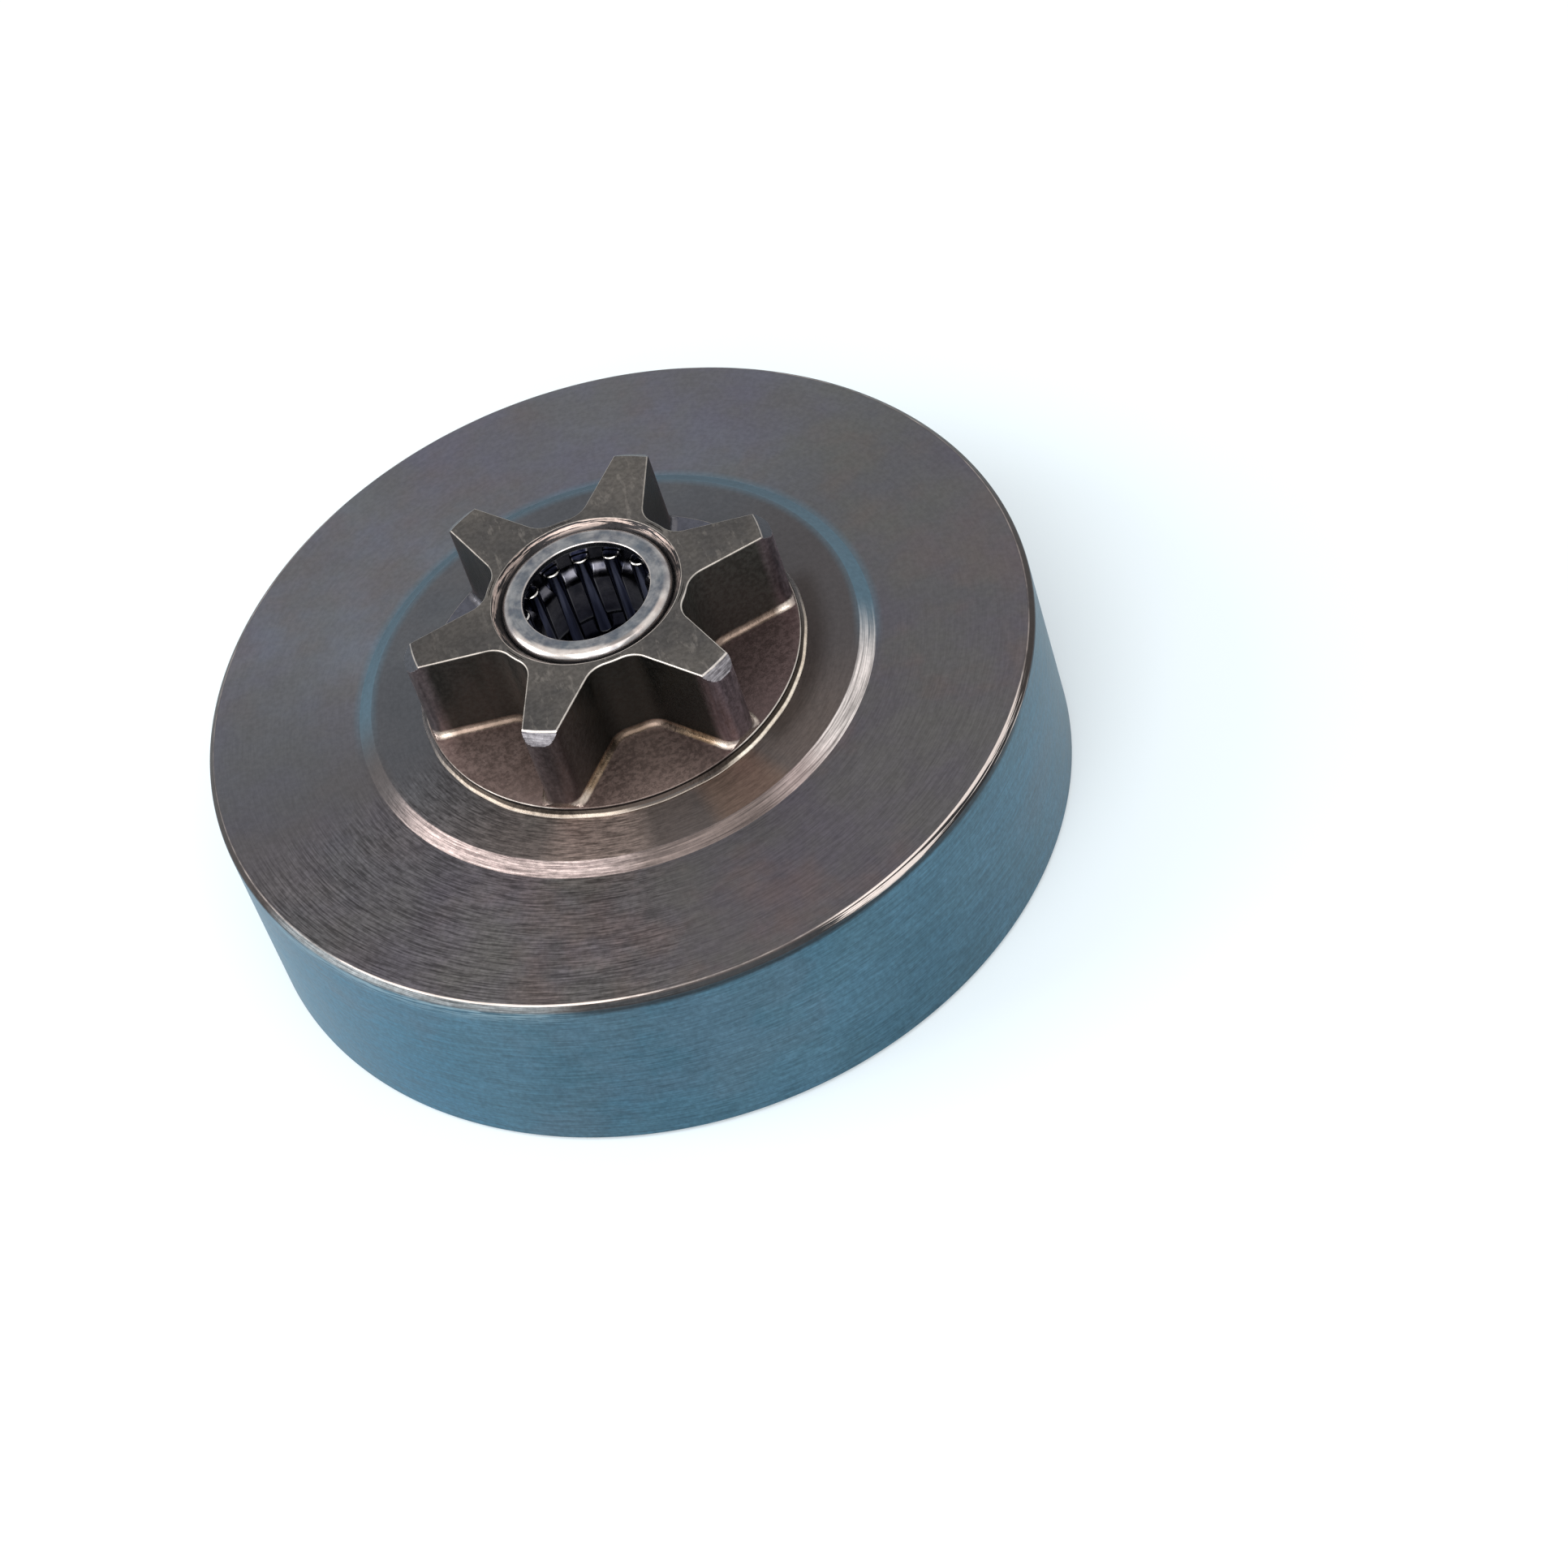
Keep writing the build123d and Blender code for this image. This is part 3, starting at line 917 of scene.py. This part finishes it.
def sprocket_finish():
    """Sintered steel: scratched top, dark flanks, plum-brown flange that turns blue-grey at the back as a
    painted reflection, tooth feet painted golden as a highlight, and bare edges with painted highlights.
    """
    tree = Finish("sprocket_steel")
    patch = tree.patches(5.0)
    grain = tree.patches(0.35)
    scratch = tree.ramp(tree.patches(0.6, tree.drawn_out((1.0, 0.3, 1.0), 0.6)), 0.7, 1.0)
    streak = tree.patches(1.6, tree.drawn_out((1.0, 1.0, 0.12)))
    rings = tree.lathe(1.0, 0.24, 2.5)
    facets = tree.lathe(-1.0, 0.2, 9.0)
    height = tree.height()
    radius = tree.radius()
    on_bead = tree.mark("bead")
    on_foot = tree.mark("foot")
    lit = tree.toward(272, 85, 50)
    near_side = tree.toward(270, 112, 84)
    in_shade = tree.toward(266, 36, 22)

    # Teeth, in painted light: flanks and tip faces lighter or darker by azimuth as painted shade and
    # painted reflection, and the tips' bevel facets pale only toward the front as a painted highlight
    top = tree.layers(
        tree.shades(patch, (92, 88, 84), (72, 70, 69)),
        (scratch, (136, 130, 124), 0.3),
        (tree.toward(180, 16, 8), (64, 62, 61), 0.5),
    )
    tip = tree.layers(
        tree.shades(streak, (58, 52, 52), (108, 96, 96)),
        (tree.toward(178, 14, 8), tree.shades(streak, (92, 84, 84), (140, 128, 130))),
        (tree.toward(335, 70, 50), tree.shades(streak, (80, 70, 73), (148, 132, 137))),
    )
    flank = tree.layers(
        tree.shades(streak, (53, 53, 50), (67, 64, 61)),
        (tree.toward(208, 14, 7), (70, 68, 64)),
        (tree.toward(243, 9, 4), (86, 80, 78)),
        (tree.toward(278, 34, 18), (42, 43, 41)),
        (tree.toward(346, 26, 14), (78, 77, 73)),
        (tree.ramp(radius, *tooth_tip), tip),
    )
    facet = tree.shades(facets, (84, 81, 85), (140, 137, 141))
    facet = tree.mix(lit, screen(66, 68, 74), facet)
    ringed = tree.times(tree.ramp(rings, 0.48, 0.64), tree.ramp(height, *mouth_rings))
    mouth = tree.shades(ringed, (44, 42, 43), (172, 155, 147))

    # Flange and the foot of the teeth, in painted light: the flange lighter to the front and darker to
    # the right, flange and foot blue-grey at the back as a painted reflection, and the foot rounds
    # painted golden and white as highlights, brightest at the tooth ends
    flange = tree.layers(
        tree.shades(patch, (136, 118, 113), (112, 95, 90)),
        (tree.toward(275, 48, 18), (138, 119, 112)),
        (tree.toward(338, 62, 26), (101, 85, 84)),
    )
    flange = tree.mix(near_side, screen(82, 83, 92), flange)
    sides = tree.most(tree.toward(250, 12, 6), tree.toward(290, 11, 5))
    foot_end_highlight = tree.ramp(radius, *tooth_end)
    foot = tree.layers(
        tree.shades(patch, (136, 118, 107), (78, 66, 57)),
        (tree.times(tree.ramp(radius, *gap_root), tree.toward(264, 15, 7)), (82, 69, 59)),
        (
            tree.times(sides, tree.ramp(radius, *gap_side)),
            tree.shades(streak, (172, 150, 128), (128, 106, 84)),
        ),
        (tree.times(foot_end_highlight, tree.toward(198, 22, 12)), (184, 170, 158)),
        (tree.times(foot_end_highlight, tree.toward(315, 85, 60)), (206, 193, 181)),
    )
    foot = tree.mix(near_side, screen(96, 95, 100), foot)
    line = tree.times(tree.ramp(on_foot, 0.15, 0.65), tree.ramp(radius, *foot_fade, 0.35))

    # Bead of braze, with a pale painted highlight along its lower part, brighter to the right, a painted
    # shadow of the front tooth across it, and blue-grey at the back as a painted reflection
    bead_highlight_line = tree.ramp(tree.apart(height, bead_line_z), *bead_line_fade)
    pale = tree.layers(
        tree.shades(patch, (206, 193, 178), (152, 135, 120)),
        (tree.toward(318, 32, 20), tree.shades(patch, (244, 234, 218), (206, 190, 172))),
    )
    shaded = tree.shades(tree.ramp(height, *bead_shade), (48, 41, 37), (108, 92, 76))
    bead = tree.layers(
        tree.shades(patch, (62, 54, 47), (46, 40, 36)),
        (bead_highlight_line, pale),
        (tree.toward(275, 22, 10), shaded),
    )
    bead = tree.mix(tree.toward(274, 90, 66), screen(86, 82, 82), bead)

    colour = tree.layers(
        top,
        (tree.mark("wall"), flank),
        (tree.mark("flange"), flange),
        (line, foot),
        (tree.mark("rim"), tree.shades(in_shade, (56, 49, 47), (34, 29, 28))),
        (on_bead, bead),
        (tree.mark("mouth"), mouth),
        (tree.mark("inside"), (80, 80, 84)),
        (tree.mark("bevel"), facet),
    )
    colour = tree.toned(colour, tree.ramp(grain, 0.0, 1.0, 0.86, 1.14))

    # Edges bare from wear with painted highlights toward the lit front, less so where the flange's edge
    # lies in shade
    spared = tree.most(tree.times(in_shade, 0.8), tree.times(tree.toward(215, 40, 25), 0.35))
    spared = tree.times(spared, tree.ramp(tree.apart(height, flange_z), *flange_edge_fade))
    wear_and_highlight = tree.times(tree.mark("wear"), tree.ramp(lit, 0.0, 1.0, 0.72, 0.95), tree.minus(1.0, spared))
    polish_and_highlight = tree.shades(lit, (172, 164, 156), (214, 206, 198))
    colour = tree.layers(colour, (tree.bare(wear_and_highlight, 1.4), polish_and_highlight, 0.82))

    smooth = tree.most(on_foot, on_bead)
    rough = tree.minus(tree.ramp(grain, 0.0, 1.0, 0.34, 0.46), tree.times(smooth, 0.14))
    metal = tree.minus(0.9, tree.times(bead_highlight_line, on_bead, 0.5))
    normal = tree.bump(0.3, 0.02, tree.plus(grain, tree.times(scratch, 0.6)))
    return tree.connect(base_color=colour, roughness=rough, metallic=metal, normal=normal)


def shell_finish():
    """Drawn bearing steel: blued lip with dull patches, a painted highlight on the round corner toward
    the front with a painted dim stretch in it, and a bright inner lip edge.
    """
    tree = Finish("shell_steel")
    lines = tree.lathe(1.0, 0.16, 6.0)
    patch = tree.patches(1.2)
    radius = tree.radius()
    # Painted highlight on the round corner over its front half, with a painted dim stretch; the same
    # bright colour on the lip's inner edge
    narrow = tree.times(tree.ramp(radius, *lip_narrow_highlight), tree.toward(262, 80, 60))
    broad = tree.times(tree.ramp(radius, *lip_broad_highlight), tree.toward(240, 34, 20))
    corner_highlight_ring = tree.times(tree.most(narrow, broad), tree.ramp(radius, *lip_highlight_end))
    edge = tree.times(tree.mark("wear"), tree.ramp(radius, *lip_edge, 1.0, 0.4))
    burnish_and_highlight = tree.layers(
        tree.shades(patch, (222, 214, 208), (194, 182, 176)),
        (tree.toward(281, 13, 6), (120, 114, 112), 0.8),
    )
    colour = tree.layers(
        tree.shades(patch, (150, 149, 150), (86, 90, 100)),
        (tree.patches(4.0), (110, 120, 126), 0.4),
        (tree.most(corner_highlight_ring, edge), burnish_and_highlight),
        (tree.mark("inside"), (40, 42, 50)),
    )
    colour = tree.toned(colour, tree.ramp(lines, 0.0, 1.0, 0.92, 1.08))
    rough = tree.ramp(patch, 0.0, 1.0, 0.18, 0.3)
    normal = tree.bump(0.15, 0.01, lines)
    return tree.connect(base_color=colour, roughness=rough, metallic=1.0, normal=normal)


def cage_finish():
    """Oiled dark sheet steel, darker lower down the bore as painted shade, with pocket edges bright from
    wear and painted highlight, one edge more than the other.
    """
    tree = Finish("cage_steel")
    patch = tree.patches(0.9)
    above_bore_shade = tree.ramp(tree.height(), *bore_shade_level)
    rim_wear_and_highlight = tree.times(tree.ramp(tree.mark("rim"), 0.3, 1.0), above_bore_shade)
    colour = tree.layers(
        tree.shades(patch, (30, 31, 42), (48, 49, 62)),
        (above_bore_shade, tree.shades(patch, (58, 59, 68), (98, 97, 104))),
        (rim_wear_and_highlight, (150, 150, 158), 0.8),
    )
    rough = tree.ramp(patch, 0.0, 1.0, 0.16, 0.28)
    normal = tree.bump(0.1, 0.01, patch)
    return tree.connect(base_color=colour, roughness=rough, metallic=1.0, normal=normal)


def needle_finish():
    """Hardened rollers, dark along the side and darker lower down the bore as painted shade, and bright
    at their eased ends from wear and painted highlight.
    """
    tree = Finish("needle_steel")
    lines = tree.patches(0.5, tree.drawn_out((1.0, 1.0, 0.08)))
    colour = tree.layers(
        tree.shades(lines, (24, 27, 44), (58, 62, 84)),
        (tree.ramp(tree.height(), *bore_shade_level), tree.shades(lines, (40, 44, 68), (110, 115, 138))),
        # Eased ends: bare metal with a painted highlight
        (tree.mark("wear"), (204, 200, 194)),
    )
    rough = tree.ramp(lines, 0.0, 1.0, 0.12, 0.22)
    return tree.connect(base_color=colour, roughness=rough, metallic=1.0)


# Pieces

drum_steel = drum_finish()
sprocket_steel = sprocket_finish()
shell_steel = shell_finish()
cage_steel = cage_finish()
needle_steel = needle_finish()

drum = turned_ring(
    "drum_cup_turned",
    [
        (drum_inner_radius + rim_chamfer, 0.0, 0.1, "rim", 0.4),
        (drum_radius - rim_chamfer, 0.0, 0.1, "wall", 0.4),
        (drum_radius, rim_chamfer, 0.12, "wall", 0.5),
        (drum_radius, drum_height - face_chamfer, 0.35, "chamfer", 0.3),
        (drum_radius - face_chamfer, drum_height, 0.35, "face", 1.0),
        (pad_foot_radius, drum_height, 0.1, "bevel", 0.0),
        (pad_radius, pad_z, 0.12, "pad", 0.0),
        (plate_hole_radius, pad_z, 0.06, "inside", 0.0),
        (plate_hole_radius, plate_inner_z, 0.06, "inside", 0.3),
        (drum_inner_radius, plate_inner_z, inner_corner_round, "friction", 0.0),
        (drum_inner_radius, rim_chamfer, 0.1, "rim", 0.4),
    ],
    drum_steel,
)
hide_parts("drum_cup")
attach(drum, "drum")

sprocket = spur_sprocket("spur_sprocket", sprocket_steel)
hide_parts("sprocket")
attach(sprocket, "drum")

shell = turned_ring(
    "bearing_shell_drawn",
    [
        (bearing_radius, bearing_bottom_z, shell_corner_round, "outside", 0.0),
        (bearing_radius, bearing_top_z, shell_corner_round, "lip", 1.0),
        (lip_bore_radius, bearing_top_z, lip_edge_ease, "lip", 0.6),
        (lip_bore_radius, bearing_top_z - lip_thickness, 0.08, "inside", 0.3),
        (raceway_radius, bearing_top_z - lip_thickness, shell_inner_chamfer, "inside", 0.0),
        (raceway_radius, bearing_bottom_z + lip_thickness, shell_inner_chamfer, "inside", 0.0),
        (lip_bore_radius, bearing_bottom_z + lip_thickness, 0.08, "lip", 0.3),
        (lip_bore_radius, bearing_bottom_z, lip_edge_ease, "lip", 0.6),
    ],
    shell_steel,
    columns=240,
)
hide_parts("bearing_shell")
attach(shell, "drum")

first_low, first_high = (np.array(corner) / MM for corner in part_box("needle_roller_01"))
first_middle = (first_low + first_high) / 2
cage = cage_sleeve(
    "needle_cage_sheet",
    first_middle[2],
    np.arctan2(first_middle[1], first_middle[0]),
    (first_high[2] - first_low[2]) / 2,
    cage_steel,
)
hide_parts("needle_cage")
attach(cage, "cage")

for node in sorted(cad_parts):
    if not node.startswith("needle_roller_"):
        continue
    low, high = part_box(node)
    number = node.rsplit("_", 1)[1]
    roller = needle(f"roller_eased_{number}", np.array(low) / MM, np.array(high) / MM, needle_steel)
    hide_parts(node)
    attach(roller, f"needle_{number}")


# Studio, in metres

floor_half = 3.0
floor_glow = 0.3
world_light = 0.7
white = (1.0, 1.0, 1.0, 1.0)
aimed_at = (0.0, 0.0, 0.01)


def floor_finish():
    """Pale floor: white to the camera and in reflections, dimmed a little by the drum's own shadow."""
    material = bpy.data.materials.new("pale_floor")
    material.use_nodes = True
    tree = Tree(material.node_tree)
    shader = tree.tree.nodes["Principled BSDF"]
    tint = screen(228, 241, 247)
    tree.feed_named(shader.inputs, base_color=tint, roughness=0.9, specular_ior_level=0.0)
    glow = tree.node("ShaderNodeEmission", {"Color": white, "Strength": 1.0})
    share = tree.times(tree.seen(), floor_glow)
    both = tree.node("ShaderNodeMixShader", {0: share, 1: shader.outputs[0], 2: glow.outputs[0]})
    tree.feed(tree.tree.nodes["Material Output"].inputs["Surface"], both.outputs[0])
    return material


def studio_floor():
    """A level square under the drum."""
    mesh = bpy.data.meshes.new("floor")
    corners = [(x * floor_half, y * floor_half, 0.0) for x, y in ((-1, -1), (1, -1), (1, 1), (-1, 1))]
    mesh.from_pydata(corners, [], [(0, 1, 2, 3)])
    mesh.materials.append(floor_finish())
    floor = bpy.data.objects.new("floor", mesh)
    bpy.context.scene.collection.objects.link(floor)
    return floor


floor = studio_floor()


def studio_world():
    """A white studio all round: full white to the camera and in reflections, softer as a light."""
    world = bpy.data.worlds.new("studio")
    world.use_nodes = True
    tree = Tree(world.node_tree)
    strength = tree.ramp(tree.seen(), 0.0, 1.0, world_light, 1.0)
    background = tree.tree.nodes["Background"]
    tree.feed_named(background.inputs, color=white, strength=strength)
    bpy.context.scene.world = world


studio_world()


def softbox(name, place, size, power):
    """A square lamp at a place, turned to face the drum."""
    lamp = bpy.data.lights.new(name, "AREA")
    lamp.shape = "SQUARE"
    lamp.size = size
    lamp.energy = power
    box = bpy.data.objects.new(name, lamp)
    aim = Vector(aimed_at) - Vector(place)
    box.matrix_world = Matrix.Translation(place) @ aim.to_track_quat("-Z", "Y").to_matrix().to_4x4()
    bpy.context.scene.collection.objects.link(box)


softbox("front_softbox", place=(-0.10, -0.42, 0.62), size=0.7, power=4.5)
softbox("left_softbox", place=(-0.65, 0.10, 0.45), size=0.45, power=3.0)


def aim_camera(target, distance, azimuth, elevation, roll, lens):
    """A camera looking at a target from a distance, turned about Z, tipped and rolled by degrees."""
    azimuth, elevation, roll = np.radians([azimuth, elevation, roll])
    level_reach = np.cos(elevation)
    ahead = Vector((np.sin(azimuth) * level_reach, np.cos(azimuth) * level_reach, -np.sin(elevation)))
    level = ahead.cross(Vector((0, 0, 1))).normalized()
    above = level.cross(ahead)
    right = level * np.cos(roll) + above * np.sin(roll)
    up = above * np.cos(roll) - level * np.sin(roll)
    data = bpy.data.cameras.new("camera")
    data.sensor_width = 36.0
    data.lens = lens
    data.clip_start = 0.01
    camera = bpy.data.objects.new("camera", data)
    axes = Matrix((right, up, -ahead)).transposed().to_4x4()
    camera.matrix_world = Matrix.Translation(Vector(target) - ahead * distance) @ axes
    bpy.context.scene.collection.objects.link(camera)
    bpy.context.scene.camera = camera


aim_camera(
    target=(0.00962, -0.002585, 0.0),
    distance=0.404128,
    azimuth=2.194,
    elevation=47.701,
    roll=-19.172,
    lens=112.979,
)

bpy.context.scene.view_settings.view_transform = "Standard"
